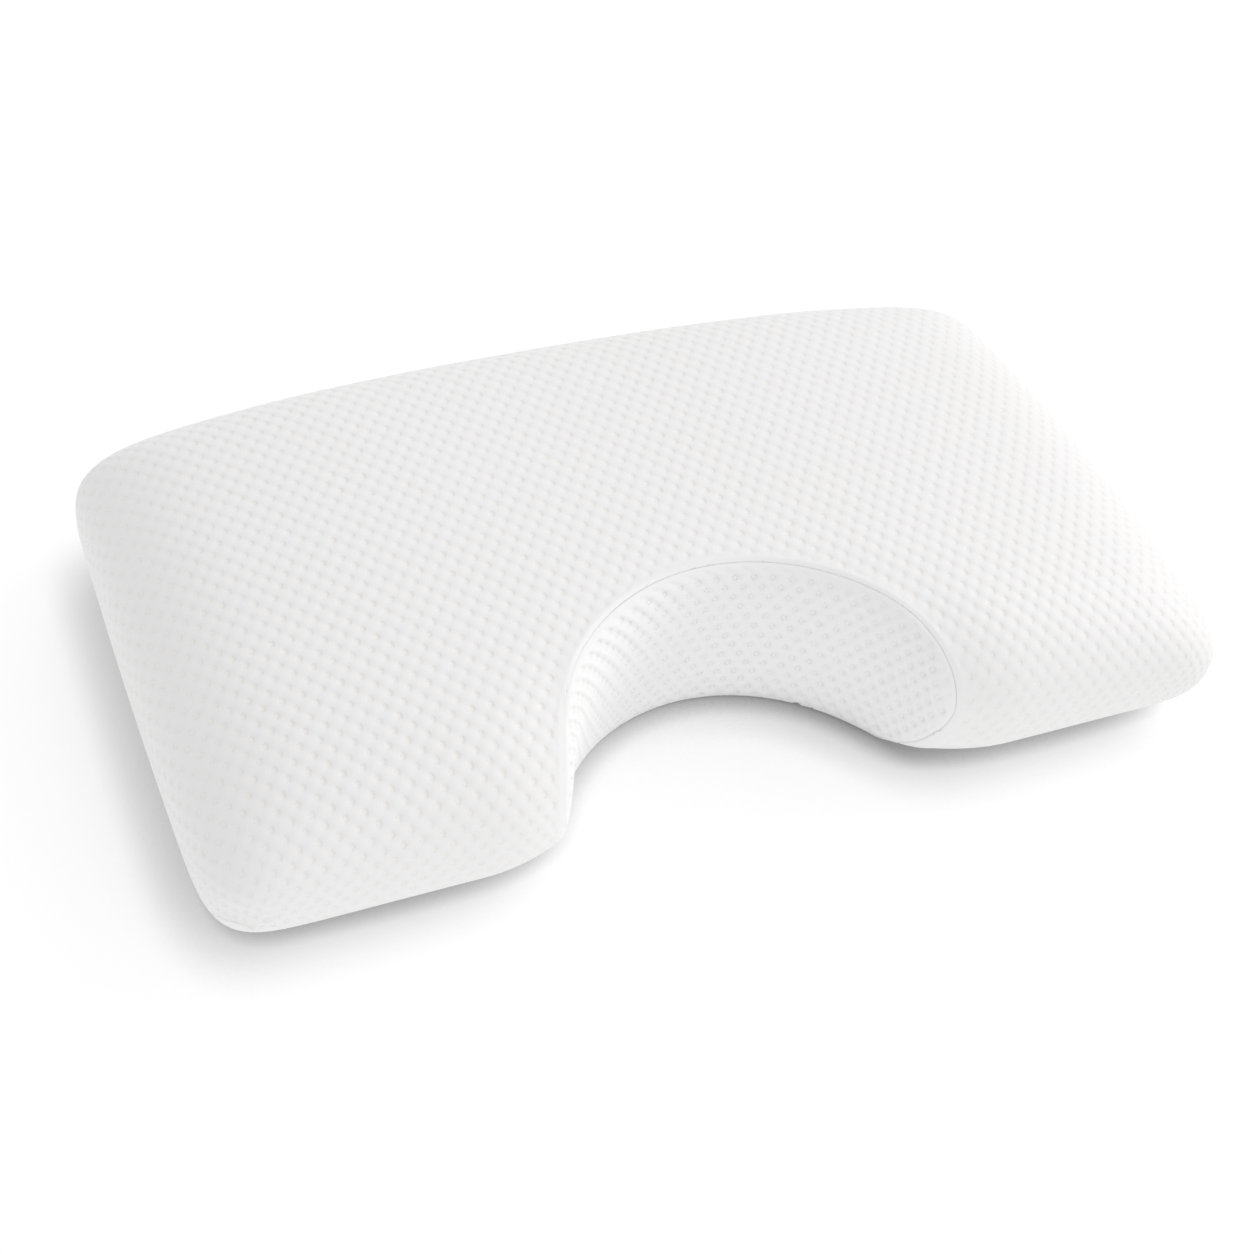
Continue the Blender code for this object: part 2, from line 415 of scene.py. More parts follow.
def mergedCopy(node, name):
    obj = bpy.data.objects.new(name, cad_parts[node].data.copy())
    scene.collection.objects.link(obj)
    obj.data.materials.clear()
    activate(obj)
    bpy.ops.object.mode_set(mode="EDIT")
    bpy.ops.mesh.select_all(action="SELECT")
    bpy.ops.mesh.remove_doubles(threshold=0.00001)
    bpy.ops.object.mode_set(mode="OBJECT")
    return obj


def applyModifier(obj, modifier):
    activate(obj)
    bpy.ops.object.modifier_apply(modifier=modifier.name)


def refineWhere(obj, nearness, reach):
    # cuts each face finer whose points all lie within reach
    bpy.ops.object.select_all(action="DESELECT")
    near = nearness(pointsOf(obj)) < reach
    mesh = obj.data
    starts = np.empty(len(mesh.polygons), int)
    mesh.polygons.foreach_get("loop_start", starts)
    chosen = np.logical_and.reduceat(near[cornersOf(mesh)], starts)
    activate(obj)
    bpy.ops.object.mode_set(mode="EDIT")
    bpy.ops.mesh.select_mode(type="FACE")
    bpy.ops.mesh.select_all(action="DESELECT")
    bpy.ops.object.mode_set(mode="OBJECT")
    mesh.polygons.foreach_set("select", chosen)
    bpy.ops.object.mode_set(mode="EDIT")
    bpy.ops.mesh.subdivide(number_cuts=1)
    bpy.ops.object.mode_set(mode="OBJECT")


skinMake = {
    "voxel": 0.0058,
    "pressure": 4.0,
    "frames": 20,
    "startIn": 0.0012,  # the body swells, so it starts this much smaller
    "swellLimit": 0.0012,
    "heldSeam": 0.005,  # nearer to the seam than this the cloth is held
    "heldFloor": 0.004,
    "evenRounds": 12,
    "seamBand": 0.0055,  # the mesh is finer in here
    "innerShare": 0.7,  # and once more in this share of it
    "tuckBands": (0.014, 0.009, 0.005),
    "footBand": 0.008,
}


def evened(obj, values, rounds):
    # averages values with those of the neighbouring points
    pairs = np.empty(len(obj.data.edges) * 2, int)
    obj.data.edges.foreach_get("vertices", pairs)
    a, b = pairs[::2], pairs[1::2]
    count = np.bincount(pairs, minlength=len(values))[:, None] + 1.0
    for _ in range(rounds):
        total = values.copy()
        for axis in range(3):
            near = np.bincount(a, values[b, axis], len(values))
            near = near + np.bincount(b, values[a, axis], len(values))
            total[:, axis] += near
        values = total / count
    return values


def inflate(obj, normals):
    # a short cloth run with pressure, held along the seam and on the floor
    resting = pointsOf(obj)
    held = np.abs(seamDistance(resting)) < skinMake["heldSeam"]
    held = held | (resting[:, 2] < skinMake["heldFloor"])
    movePoints(obj, resting - normals * skinMake["startIn"])
    group = obj.vertex_groups.new(name="held")
    group.add(np.flatnonzero(held).tolist(), 1.0, "REPLACE")
    cloth = obj.modifiers.new("Cloth", "CLOTH")
    cloth.settings.quality = 4
    cloth.settings.mass = 0.3
    cloth.settings.tension_stiffness = 12
    cloth.settings.compression_stiffness = 12
    cloth.settings.shear_stiffness = 4
    cloth.settings.bending_stiffness = 0.4
    cloth.settings.use_pressure = True
    cloth.settings.uniform_pressure_force = skinMake["pressure"]
    cloth.settings.vertex_group_mass = "held"
    cloth.settings.effector_weights.gravity = 0
    cloth.point_cache.frame_start = 1
    cloth.point_cache.frame_end = skinMake["frames"]
    for number in range(1, skinMake["frames"] + 1):
        scene.frame_set(number)
    applyModifier(obj, cloth)
    scene.frame_set(1)
    swell = pointsOf(obj) - resting
    size = np.maximum(np.linalg.norm(swell, axis=1), 1e-9)
    limited = swell * np.minimum(1, skinMake["swellLimit"] / size)[:, None]
    obj.vertex_groups.remove(obj.vertex_groups["held"])
    movePoints(obj, resting)
    return evened(obj, limited, skinMake["evenRounds"])


def nearSeam(points):
    return np.abs(seamDistance(points))


def nearTuck(points):
    return besidePath(points, onSurface(cornerTuck["path"]))[0]


def nearFoot(points):
    # the foot of the recess, seen against the floor
    x, y = straightPlan(points)
    return np.maximum(points[:, 2], recessOffset(x, y))


def makeSkin():
    # one smooth closed skin of the whole pillow, finer at the seam, the tuck and the recess's foot
    skin = mergedCopy("pillow_body", "coverSkin")
    remesh = skin.modifiers.new("Remesh", "REMESH")
    remesh.mode = "VOXEL"
    remesh.voxel_size = skinMake["voxel"]
    applyModifier(skin, remesh)
    points, normals = ontoForm(pointsOf(skin), rounds=8)
    movePoints(skin, points)
    print("skin", len(points), "points")
    swell = inflate(skin, normals)
    print("cloth run done, largest swell", round(float(np.abs(swell).max() * 1000), 2), "mm")
    storeNumbers(skin, "swell", swell)
    finer = skin.modifiers.new("Subdivision", "SUBSURF")
    finer.levels = finer.render_levels = 1
    applyModifier(skin, finer)
    refineWhere(skin, nearSeam, skinMake["seamBand"])
    refineWhere(skin, nearSeam, skinMake["seamBand"] * skinMake["innerShare"])
    for band in skinMake["tuckBands"]:
        refineWhere(skin, nearTuck, band)
    refineWhere(skin, nearFoot, skinMake["footBand"])
    points, _ = ontoForm(pointsOf(skin))
    movePoints(skin, points)
    print("skin refined to", len(points), "points")
    return skin


def faceSides(face):
    return zip(face, face[1:] + face[:1])


def panelFaces(skin):
    # the faces inside the seam with their points and their open sides, the points on their edge
    # and the points just inside it
    inside = seamDistance(pointsOf(skin)) < 0
    faces = []
    for face in skin.data.polygons:
        if all(inside[i] for i in face.vertices):
            faces.append(tuple(face.vertices))
    uses = Counter(frozenset(pair) for face in faces for pair in faceSides(face))
    rim = [pair for face in faces for pair in faceSides(face) if uses[frozenset(pair)] == 1]
    used = np.unique([i for face in faces for i in face])
    edge = np.unique([i for pair in rim for i in pair])
    onEdge = set(edge.tolist())
    beside = {i for face in faces if onEdge.intersection(face) for i in face} - onEdge
    return {"faces": faces, "rim": rim, "used": used, "edge": edge, "beside": np.array(sorted(beside))}


def drawToSeam(points, which, target):
    # slides points over the surface until they lie this far from the seam
    rounds, leastSteepness = 8, 0.25
    for _ in range(rounds):
        spots = points[which]
        value = seamDistance(spots) - target
        slope = slopeOf(seamDistance, spots, step=0.0001)
        _, normals = ontoForm(spots, rounds=0)
        slope = slope - (slope * normals).sum(1)[:, None] * normals
        move = -(value / np.maximum((slope**2).sum(1), leastSteepness))[:, None] * slope
        points[which], _ = ontoForm(spots + move, rounds=2)
    return points


bodyMake = {
    "rebate": 0.0023,  # room for the panel
    "wallTop": 0.00008,  # the rebate's wall, from the seam
    "wallFoot": 0.00004,
    "strayFrom": 0.0005,  # no other point comes nearer to the seam
    "rollOut": 0.0003,  # the cover stands up a little beside the seam
    "rollAt": 0.0032,
    "rollWidth": 0.0018,
    "rollIn": 0.0001,
    "rollInWidth": 0.0009,
    "flatRollShare": 0.8,  # the roll is flatter on the left nose
    "flatRollX": (-0.05, -0.09),
    "flatRollY": (-0.085, -0.115),
    "calmBelow": 0.006,  # no swelling on the floor
    "plainBesideSeam": (0.0075, 0.0030),
    "plainAtFloor": (0.010, 0.002),
    "plainRoundTuck": (0.050, 0.015),
    "tuckPlainness": 0.2,
    # painted shade along the seam's groove
    "creaseShadeShare": 0.12,
    "creaseShadeWidth": (0.0012, 0.0002),
}


def seamRoll(points, away):
    # how far the cover stands out beside the seam, and turns in to it
    m = bodyMake
    roll = m["rollOut"] * bell(away - m["rollAt"], m["rollWidth"])
    roll = roll - m["rollIn"] * np.exp(-np.maximum(away, 0) / m["rollInWidth"])
    leftNose = smoothStep(*m["flatRollX"], points[:, 0]) * smoothStep(*m["flatRollY"], points[:, 1])
    return roll * (1 - m["flatRollShare"] * leftNose)


def makeBody(skin, parts):
    m = bodyMake
    body = bpy.data.objects.new("knitCover", skin.data.copy())
    scene.collection.objects.link(body)
    rest = pointsOf(body)
    under = np.zeros(len(rest), bool)
    under[parts["used"]] = True
    stray = np.flatnonzero(~under & (seamDistance(rest) < m["strayFrom"]))
    rest = drawToSeam(rest, stray, m["strayFrom"])
    rest = drawToSeam(rest, parts["beside"], m["wallFoot"])
    rest = drawToSeam(rest, parts["edge"], m["wallTop"])
    under[parts["edge"]] = False
    _, normals = ontoForm(rest, rounds=0)
    away = seamDistance(rest)
    tuck, plainTuck, fold = tuckRelief(rest)
    relief = np.where(under, -m["rebate"], seamRoll(rest, away))
    calm = smoothStep(0.0, m["calmBelow"], rest[:, 2])
    points = rest + readVectors(body, "swell") * calm[:, None] + normals * (relief + tuck)[:, None]
    points[:, 2] = np.maximum(points[:, 2], 0.0)
    movePoints(body, points)
    writeKnitMap(body, coverCoordinates(rest))
    plain = np.maximum(smoothStep(*m["plainBesideSeam"], away), plainTuck)
    plain = np.maximum(plain, smoothStep(*m["plainAtFloor"], rest[:, 2]))
    fromTuck = np.linalg.norm(rest - np.array(cornerTuck["path"][2]), axis=1)
    plain = np.maximum(plain, m["tuckPlainness"] * smoothStep(*m["plainRoundTuck"], fromTuck))
    # painted shade along the seam's groove, and the painted shade line under the tuck's fold
    line = m["creaseShadeShare"] * smoothStep(*m["creaseShadeWidth"], np.abs(away))
    storeNumbers(body, "plain", plain)
    storeNumbers(body, "creaseShade", np.maximum(line, fold))
    storeNumbers(body, "marks", np.ones(len(rest)))
    storeNumbers(body, "ribbed", np.ones(len(rest)))
    body.data.attributes.remove(body.data.attributes["swell"])
    body.data.shade_smooth()
    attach(body, "root")
    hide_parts("pillow_body")
    return body


panelMake = {
    "thickness": 0.0020,
    "edgeRoll": 0.0002,  # how far its edge turns in to the seam
    "rollWidth": 0.0022,
    "edgeGap": 0.00003,
    "strayFrom": 0.0004,  # no point but the edge's comes nearer to the seam
    "plainBesideSeam": (-0.0055, -0.0015),
    "plainAtFloor": (0.006, 0.001),
    # painted shade along the seam's groove, on the panel's side
    "creaseShadeShare": 0.12,
    "creaseShadeWidth": (-0.0010, -0.0001),
    "leftMarks": 0.35,  # the stitch marks are fainter at the left end
    "leftFade": (-0.110, -0.030),
    "rightLoss": 0.45,  # and at the right end
    "rightFade": (0.020, 0.100),
    "ribFade": (0.070, -0.070),  # the ribs show on the left
    "smoothAngle": 60,
    "flat": (0.110, 0.350),  # the cut, a curved band
    "flatArea": 0.0315,
}


def panelSheet(outer, inner, faces, rim):
    # a closed sheet of two layers and the narrow faces between them
    total = len(outer)
    back = [tuple(i + total for i in reversed(face)) for face in faces]
    sides = [(b, a, a + total, b + total) for a, b in rim]
    mesh = bpy.data.meshes.new("recessPanel")
    mesh.from_pydata(np.concatenate([outer, inner]).tolist(), [], faces + back + sides)
    mesh.validate()
    panel = bpy.data.objects.new("recessPanel", mesh)
    scene.collection.objects.link(panel)
    return panel


def storeOnBoth(panel, name, values):
    # the same numbers for the outer and the inner layer
    storeNumbers(panel, name, np.concatenate([values, values]))


def makePanel(skin, parts):
    m = panelMake
    used = parts["used"]
    place = np.full(len(skin.data.vertices), -1)
    place[used] = np.arange(len(used))
    faces = [tuple(int(place[i]) for i in face) for face in parts["faces"]]
    rim = [(int(place[a]), int(place[b])) for a, b in parts["rim"]]
    edge = place[parts["edge"]]
    rest, swell = pointsOf(skin)[used], readVectors(skin, "swell")[used]
    free = np.ones(len(rest), bool)
    free[edge] = False
    stray = np.flatnonzero(free & (seamDistance(rest) > -m["strayFrom"]))
    rest = drawToSeam(rest, stray, -m["strayFrom"])
    rest = drawToSeam(rest, edge, -m["edgeGap"])
    _, normals = ontoForm(rest, rounds=0)
    away = seamDistance(rest)
    roll = m["edgeRoll"] * smoothStep(-m["rollWidth"], 0, away)
    outer = rest + swell - normals * roll[:, None]
    outer[:, 2] = np.maximum(outer[:, 2], 0.0)
    inner = rest + swell - normals * m["thickness"]
    panel = panelSheet(outer, inner, faces, rim)
    coordinates = panelCoordinates(rest)
    along = coordinates[:, 0]
    writeKnitMap(panel, np.concatenate([coordinates, coordinates]))
    plain = smoothStep(*m["plainBesideSeam"], away)
    storeOnBoth(panel, "plain", np.maximum(plain, smoothStep(*m["plainAtFloor"], rest[:, 2])))
    # painted shade along the seam's groove, on the panel's side
    storeOnBoth(panel, "creaseShade", m["creaseShadeShare"] * smoothStep(*m["creaseShadeWidth"], away))
    marks = m["leftMarks"] + (1 - m["leftMarks"]) * smoothStep(*m["leftFade"], along)
    storeOnBoth(panel, "marks", marks * (1 - m["rightLoss"] * smoothStep(*m["rightFade"], along)))
    storeOnBoth(panel, "ribbed", smoothStep(*m["ribFade"], along))
    panel.data.shade_smooth()
    activate(panel)
    bpy.ops.object.shade_smooth_by_angle(angle=radians(m["smoothAngle"]))
    area = sum(face.area for face in panel.data.polygons) / 2
    print("panel", len(faces), "faces, area", round(area, 5))
    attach(panel, "root")
    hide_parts("recess_panel")
    return panel


def newGroup(name, inputs, outputs):
    group = bpy.data.node_groups.new(name, "ShaderNodeTree")
    for label, kind, value in inputs:
        socket = group.interface.new_socket(name=label, in_out="INPUT", socket_type=kind)
        if value is not None:
            socket.default_value = value
    for label in outputs:
        group.interface.new_socket(name=label, in_out="OUTPUT", socket_type="NodeSocketFloat")
    start = group.nodes.new("NodeGroupInput")
    end = group.nodes.new("NodeGroupOutput")
    return group, start, end


def feed(tree, socket, value):
    # a plain value is set on the socket, anything else is linked to it
    if isinstance(value, (int, float, tuple)):
        socket.default_value = value
    else:
        tree.links.new(value, socket)


def mathNode(tree, operation, *values):
    node = tree.nodes.new("ShaderNodeMath")
    node.operation = operation
    for i, value in enumerate(values):
        feed(tree, node.inputs[i], value)
    return node.outputs[0]


def vectorNode(tree, operation, *values):
    node = tree.nodes.new("ShaderNodeVectorMath")
    node.operation = operation
    for i, value in enumerate(values):
        feed(tree, node.inputs[i], value)
    return node.outputs["Value" if operation == "LENGTH" else "Vector"]


def smoothBetween(tree, value, start, end):
    # 0 up to start, 1 from end on
    node = tree.nodes.new("ShaderNodeMapRange")
    node.interpolation_type = "SMOOTHSTEP"
    for label, number in (("From Min", start), ("From Max", end), ("To Min", 0.0), ("To Max", 1.0)):
        node.inputs[label].default_value = number
    tree.links.new(value, node.inputs["Value"])
    return node.outputs["Result"]


def noiseNode(tree, vector, scale, detail):
    node = tree.nodes.new("ShaderNodeTexNoise")
    node.inputs["Scale"].default_value = scale
    node.inputs["Detail"].default_value = detail
    tree.links.new(vector, node.inputs["Vector"])
    return node


def pickNearer(tree, nearer, pair):
    # the second of the pair where it is nearer
    pick = tree.nodes.new("ShaderNodeMix")
    pick.data_type = "VECTOR"
    tree.links.new(nearer, pick.inputs["Factor"])
    tree.links.new(pair[0], pick.inputs[4])
    tree.links.new(pair[1], pick.inputs[5])
    return pick.outputs[1]


dimpleMake = {  # metres on the cloth
    "waverScale": 70.0,  # noise that moves the dimples off their rows
    "heightShare": 0.74,  # a dimple is longer than it is wide
    "pitEdge": (0.0003, 0.0025),  # from its middle
    "leastDepth": 0.75,
    "depthSpread": 0.4,
    "holes": 5,  # stitch holes in a ring
    "ringRadius": 0.0012,
    "holeEdge": (0.00015, 0.00060),
    "patchScale": 620.0,  # some holes are hidden
    "patchEdge": (0.30, 0.62),
    "loopScale": 1400.0,
    "loopUnevenness": 0.35,
}


def stitchRing(t, offset, distance, chance):
    # holes on a ring round each dimple's middle, each ring turned its own way
    d = dimpleMake
    split = t.nodes.new("ShaderNodeSeparateXYZ")
    t.links.new(offset, split.inputs[0])
    angle = mathNode(t, "ARCTAN2", split.outputs[1], split.outputs[0])
    steps = mathNode(t, "MULTIPLY", angle, d["holes"] / (2 * pi))
    turned = mathNode(t, "MULTIPLY_ADD", chance, float(d["holes"]), steps)
    fromMiddle = mathNode(t, "SUBTRACT", mathNode(t, "FRACT", turned), 0.5)
    aside = mathNode(t, "MULTIPLY", fromMiddle, 2 * pi / d["holes"] * d["ringRadius"])
    outward = mathNode(t, "SUBTRACT", distance, d["ringRadius"])
    squares = [mathNode(t, "MULTIPLY", way, way) for way in (aside, outward)]
    fromHole = mathNode(t, "SQRT", mathNode(t, "ADD", *squares))
    return mathNode(t, "SUBTRACT", 1.0, smoothBetween(t, fromHole, *d["holeEdge"]))


def softValleys(t, cell, ribs):
    # low lines between the puffs, deeper along one diagonal where it is ribbed
    across = t.nodes.new("ShaderNodeSeparateXYZ")
    t.links.new(cell, across.inputs[0])
    valley, evenShare = 0.5, 0.25
    for operation, side in (("ADD", 1.0), ("SUBTRACT", -1.0)):
        lane = mathNode(t, operation, across.outputs[0], across.outputs[1])
        wave = mathNode(t, "COSINE", mathNode(t, "MULTIPLY", lane, 2 * pi))
        share = mathNode(t, "MULTIPLY_ADD", ribs, side, evenShare)
        valley = mathNode(t, "MULTIPLY_ADD", wave, share, valley)
    return valley


def dimpleGroup():
    # staggered dimples, each a small pit with a ring of stitch holes, and soft puffs between
    d = dimpleMake
    inputs = [
        ("Vector", "NodeSocketVector", None),
        ("Column Pitch", "NodeSocketFloat", 0.01015),
        ("Row Pitch", "NodeSocketFloat", 0.0143),
        ("Unevenness", "NodeSocketFloat", 0.0006),
        ("Pit Share", "NodeSocketFloat", 0.5),
        ("Valley Share", "NodeSocketFloat", 0.5),
        ("Ribs", "NodeSocketFloat", 0.0),
    ]
    t, start, end = newGroup("dimpleKnit", inputs, ["Height", "Pit", "Stitch", "Loops"])
    vector = start.outputs["Vector"]
    waver = noiseNode(t, vector, d["waverScale"], detail=1.0)
    centred = vectorNode(t, "SUBTRACT", waver.outputs["Color"], (0.5, 0.5, 0.5))
    spread = t.nodes.new("ShaderNodeVectorMath")
    spread.operation = "SCALE"
    t.links.new(centred, spread.inputs[0])
    t.links.new(start.outputs["Unevenness"], spread.inputs["Scale"])
    spot = vectorNode(t, "ADD", vector, spread.outputs["Vector"])
    pitch = t.nodes.new("ShaderNodeCombineXYZ")
    t.links.new(start.outputs["Column Pitch"], pitch.inputs[0])
    t.links.new(start.outputs["Row Pitch"], pitch.inputs[1])
    pitch.inputs[2].default_value = 1.0
    cell = vectorNode(t, "DIVIDE", spot, pitch.outputs[0])
    offsets, distances, homes = [], [], []
    for shift in (0.0, 0.5):  # two sets of rows, the second between the first
        moved = vectorNode(t, "ADD", cell, (shift, shift, 0.0))
        home = vectorNode(t, "FLOOR", moved)
        homes.append(vectorNode(t, "ADD", home, (shift * 7, shift * 3, 0.0)))  # its own chances
        part = vectorNode(t, "SUBTRACT", vectorNode(t, "FRACTION", moved), (0.5, 0.5, 0.0))
        part = vectorNode(t, "MULTIPLY", part, pitch.outputs[0])
        part = vectorNode(t, "MULTIPLY", part, (1.0, d["heightShare"], 0.0))
        offsets.append(part)
        distances.append(vectorNode(t, "LENGTH", part))
    nearer = mathNode(t, "LESS_THAN", distances[1], distances[0])
    offset, home = pickNearer(t, nearer, offsets), pickNearer(t, nearer, homes)
    distance = mathNode(t, "MINIMUM", *distances)
    chance = t.nodes.new("ShaderNodeTexWhiteNoise")
    chance.noise_dimensions = "2D"
    t.links.new(home, chance.inputs["Vector"])
    crater = mathNode(t, "SUBTRACT", 1.0, smoothBetween(t, distance, *d["pitEdge"]))
    depth = mathNode(t, "MULTIPLY_ADD", chance.outputs["Value"], d["depthSpread"], d["leastDepth"])
    pit = mathNode(t, "MULTIPLY", crater, depth)
    valley = softValleys(t, cell, start.outputs["Ribs"])
    low = mathNode(t, "MULTIPLY", pit, start.outputs["Pit Share"])
    low = mathNode(t, "MULTIPLY_ADD", valley, start.outputs["Valley Share"], low)
    hole = stitchRing(t, offset, distance, chance.outputs["Value"])
    patchy = noiseNode(t, vector, d["patchScale"], detail=0.0)
    shown = smoothBetween(t, patchy.outputs["Fac"], *d["patchEdge"])
    loops = t.nodes.new("ShaderNodeTexVoronoi")
    loops.inputs["Scale"].default_value = d["loopScale"]
    loops.inputs["Randomness"].default_value = d["loopUnevenness"]
    t.links.new(vector, loops.inputs["Vector"])
    t.links.new(mathNode(t, "SUBTRACT", 1.0, low), end.inputs["Height"])
    t.links.new(pit, end.inputs["Pit"])
    t.links.new(mathNode(t, "MULTIPLY", hole, shown), end.inputs["Stitch"])
    t.links.new(loops.outputs["Distance"], end.inputs["Loops"])
    return t


def mixColour(tree, factor, a, b):
    node = tree.nodes.new("ShaderNodeMix")
    node.data_type = "RGBA"
    tree.links.new(factor, node.inputs["Factor"])
    for socket, value in ((node.inputs[6], a), (node.inputs[7], b)):
        feed(tree, socket, (*value, 1.0) if isinstance(value, tuple) else value)
    return node.outputs[2]


def tinted(tree, base, mask, share, colour):
    # mixes some of a colour in where the mask is
    return mixColour(tree, mathNode(tree, "MULTIPLY", mask, share), base, colour)


def readLayer(tree, name):
    node = tree.nodes.new("ShaderNodeAttribute")
    node.attribute_name = name
    return node.outputs["Fac"]


def bumpNode(tree, height, strength, distance):
    node = tree.nodes.new("ShaderNodeBump")
    node.inputs["Strength"].default_value = strength
    node.inputs["Distance"].default_value = distance
    tree.links.new(height, node.inputs["Height"])
    return node


def knitMaterial(name, group, look):
    mat = bpy.data.materials.new(name)
    mat.use_nodes = True
    t = mat.node_tree
    shader = t.nodes["Principled BSDF"]
    shader.inputs["Roughness"].default_value = look["roughness"]
    shader.inputs["Sheen Weight"].default_value = look["sheen"]
    shader.inputs["Sheen Roughness"].default_value = look["sheenRoughness"]
    shader.inputs["Specular IOR Level"].default_value = look["shine"]
    layout = t.nodes.new("ShaderNodeUVMap")
    layout.uv_map = "knit"
    place = t.nodes.new("ShaderNodeMapping")
    place.inputs["Location"].default_value = (*look["shift"], 0.0)
    t.links.new(layout.outputs["UV"], place.inputs["Vector"])
    knit = t.nodes.new("ShaderNodeGroup")
    knit.node_tree = group
    knit.inputs["Column Pitch"].default_value = look["columnPitch"]
    knit.inputs["Row Pitch"].default_value = look["rowPitch"]
    knit.inputs["Unevenness"].default_value = look["unevenness"]
    knit.inputs["Pit Share"].default_value = look["pitShare"]
    knit.inputs["Valley Share"].default_value = look["valleyShare"]
    t.links.new(mathNode(t, "MULTIPLY", readLayer(t, "ribbed"), look["ribs"]), knit.inputs["Ribs"])
    t.links.new(place.outputs["Vector"], knit.inputs["Vector"])
    figured = mathNode(t, "SUBTRACT", 1.0, readLayer(t, "plain"))
    pit = mathNode(t, "MULTIPLY", knit.outputs["Pit"], figured)
    stitch = mathNode(t, "MULTIPLY", knit.outputs["Stitch"], figured)
    stitch = mathNode(t, "MULTIPLY", stitch, readLayer(t, "marks"))
    spot = t.nodes.new("ShaderNodeTexCoord")
    tone = noiseNode(t, spot.outputs["Object"], look["toneScale"], look["toneDetail"])
    base = mixColour(t, tone.outputs["Fac"], look["colour"], look["otherColour"])
    base = tinted(t, base, pit, look["pitTint"], look["pitColour"])
    base = tinted(t, base, stitch, look["stitchTint"], look["stitchColour"])
    # painted shade: darker along the seam's groove and under the tuck's fold
    base = tinted(t, base, readLayer(t, "creaseShade"), look["creaseShadeTint"], look["creaseShadeColour"])
    t.links.new(base, shader.inputs["Base Color"])
    low = mathNode(t, "SUBTRACT", knit.outputs["Height"], 1.0)
    height = mathNode(t, "MULTIPLY_ADD", low, figured, 1.0)
    height = mathNode(t, "MULTIPLY_ADD", stitch, -look["stitchDepth"], height)
    relief = bumpNode(t, height, strength=1.0, distance=look["depth"])
    fine = bumpNode(t, knit.outputs["Loops"], look["loopStrength"], look["loopDepth"])
    t.links.new(relief.outputs["Normal"], fine.inputs["Normal"])
    t.links.new(fine.outputs["Normal"], shader.inputs["Normal"])
    return mat


coverLook = {
    "colour": (0.880, 0.870, 0.874),
    "otherColour": (0.870, 0.864, 0.858),
    "toneScale": 9.0,
    "toneDetail": 3.0,
    "roughness": 0.55,
    "shine": 0.50,
    "sheen": 0.10,
    "sheenRoughness": 0.45,
    "shift": (0.0, 0.0),
    "columnPitch": 0.01015,
    "rowPitch": 0.0143,  # two rows, the second shifted by half a column
    "unevenness": 0.0009,
    "depth": 0.00085,
    "pitShare": 0.29,
    "valleyShare": 0.45,
    "ribs": 0.03,
    "pitTint": 0.16,
    "pitColour": (0.862, 0.850, 0.720),
    "stitchTint": 0.16,
    "stitchColour": (0.56, 0.54, 0.46),
    "stitchDepth": 0.05,
    # painted shade along the seam's groove and under the tuck's fold
    "creaseShadeTint": 0.34,
    "creaseShadeColour": (0.50, 0.48, 0.46),
    "loopStrength": 0.25,
    "loopDepth": 0.00008,
}

panelLook = dict(
    coverLook,
    colour=(0.888, 0.887, 0.889),
    otherColour=(0.880, 0.880, 0.876),
    columnPitch=0.0100,
    rowPitch=0.0150,
    shift=(0.003, 0.002),
    roughness=0.85,
    shine=0.25,
    pitShare=0.28,
    valleyShare=0.75,
    ribs=0.17,
    pitTint=0.14,
    pitColour=(0.830, 0.828, 0.810),
    stitchTint=0.52,
    stitchColour=(0.52, 0.52, 0.52),
    depth=0.0011,
)


skin = makeSkin()
parts = panelFaces(skin)
body = makeBody(skin, parts)
panel = makePanel(skin, parts)
bpy.data.objects.remove(skin, do_unlink=True)
knit = dimpleGroup()
body.data.materials.clear()
body.data.materials.append(knitMaterial("whiteDimpleKnit", knit, coverLook))
panel.data.materials.append(knitMaterial("panelDimpleKnit", knit, panelLook))
print("materials done")


upright = (0.0, 0.0, 1.0)
lightSide = (0.807, 0.142, 0.574)  # azimuth 10, elevation 35 degrees; the painted shadow on the floor falls away from this side

studio = {
    "floorSize": 14,
    "floorPlace": (0, 3, 0),
    "floorColour": (0.20, 0.20, 0.20),
    "floorRoughness": 0.9,
    "floorShine": 0.1,
    "floorGlow": 0.83,  # the floor glows like a white sheet lit from below; beside the pillow painted contact shadow cuts the glow
    "evenGlow": 0.08,
    "glowWithPaintedShadow": [  # the rest of the glow fades where something stands close, a painted contact shadow
        {"share": 0.33, "reach": 0.015, "towards": upright, "ramp": (0.40, 1.00)},
        {"share": 0.31, "reach": 0.040, "towards": lightSide, "ramp": (0.36, 0.82)},
        {"share": 0.30, "reach": 0.160, "towards": lightSide, "ramp": (0.18, 0.57)},
    ],
    "glowSamples": 5,
    "worldColour": (0.995, 0.995, 1.0),
    "world": 0.785,
    "lights": [  # azimuth, elevation, strength, width in degrees
        (-80, 30, 0.18, 40),
        (8, 30, 1.06, 40),
    ],
    "lightColour": (1.0, 0.988, 0.980),
}


def unshadowedShareOf(tree, part):
    # 1 in the open, 0 right beside the pillow: the mask of the painted contact shadow on the floor
    towards = tree.nodes.new("ShaderNodeCombineXYZ")
    for axis, value in enumerate(part["towards"]):
        towards.inputs[axis].default_value = value
    openness = tree.nodes.new("ShaderNodeAmbientOcclusion")
    openness.samples = studio["glowSamples"]
    openness.inputs["Distance"].default_value = part["reach"]
    tree.links.new(towards.outputs["Vector"], openness.inputs["Normal"])
    return smoothBetween(tree, openness.outputs["AO"], *part["ramp"])


